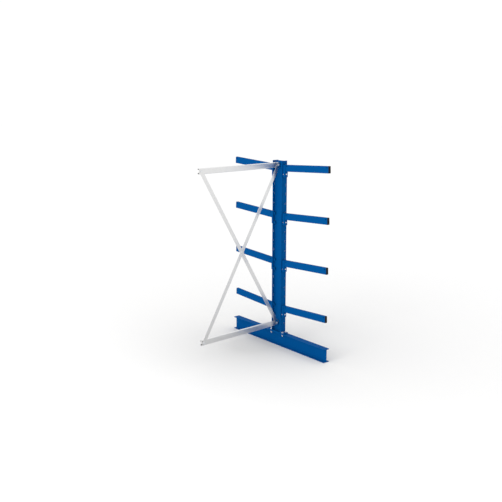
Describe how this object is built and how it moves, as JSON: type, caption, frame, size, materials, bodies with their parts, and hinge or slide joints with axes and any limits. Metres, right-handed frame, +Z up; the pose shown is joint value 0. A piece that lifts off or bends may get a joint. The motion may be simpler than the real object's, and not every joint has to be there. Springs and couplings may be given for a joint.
{
  "type": "cantilever rack",
  "caption": "Double-sided cantilever rack: I-section column on a base beam, hook-in arms tipped slightly up on both sides, and a galvanised cross-braced bay reaching to the next column.",
  "frame": {"origin": "on the floor, under the column's axis, at the middle of the base beam's underside", "axes": "+Z up along the column, +X along the right-hand arms and the base beam, +Y away from the bracing bay, which reaches towards -Y"},
  "size_m": [1.442, 1.0691, 1.992],
  "materials": {
    "blue_paint": "satin powder coat, gentian blue",
    "galvanised_steel": "galvanised sheet, soft spangle",
    "zinc_fastener": "bright zinc plate",
    "black_plastic": "fine matt moulded"
  },
  "bodies": {
    "root": {"base_beam": "blue_paint", "foot_plate": "blue_paint", "column": "blue_paint", "foot_bolts": "zinc_fastener", "foot_washers": "zinc_fastener", "foot_nuts": "zinc_fastener", "arm_tube_right_1": "blue_paint", "arm_bracket_right_1": "blue_paint", "arm_cap_right_1": "black_plastic", "arm_tube_right_2": "blue_paint", "arm_bracket_right_2": "blue_paint", "arm_cap_right_2": "black_plastic", "arm_tube_right_3": "blue_paint", "arm_bracket_right_3": "blue_paint", "arm_cap_right_3": "black_plastic", "arm_tube_right_4": "blue_paint", "arm_bracket_right_4": "blue_paint", "arm_cap_right_4": "black_plastic", "locking_screws_right": "zinc_fastener", "locking_barrels_right": "zinc_fastener", "arm_tube_left_1": "blue_paint", "arm_bracket_left_1": "blue_paint", "arm_cap_left_1": "black_plastic", "arm_tube_left_2": "blue_paint", "arm_bracket_left_2": "blue_paint", "arm_cap_left_2": "black_plastic", "arm_tube_left_3": "blue_paint", "arm_bracket_left_3": "blue_paint", "arm_cap_left_3": "black_plastic", "arm_tube_left_4": "blue_paint", "arm_bracket_left_4": "blue_paint", "arm_cap_left_4": "black_plastic", "locking_screws_left": "zinc_fastener", "locking_barrels_left": "zinc_fastener", "brace_rail_top": "galvanised_steel", "brace_rail_bottom": "galvanised_steel", "brace_diagonal_falling": "galvanised_steel", "brace_diagonal_rising": "galvanised_steel", "brace_lug_top": "blue_paint", "brace_lug_bottom": "blue_paint", "diagonal_bolts": "zinc_fastener", "diagonal_nuts": "zinc_fastener", "packing_washers": "zinc_fastener", "crossing_bolt": "zinc_fastener", "crossing_nut": "zinc_fastener"}
  },
  "joints": []
}
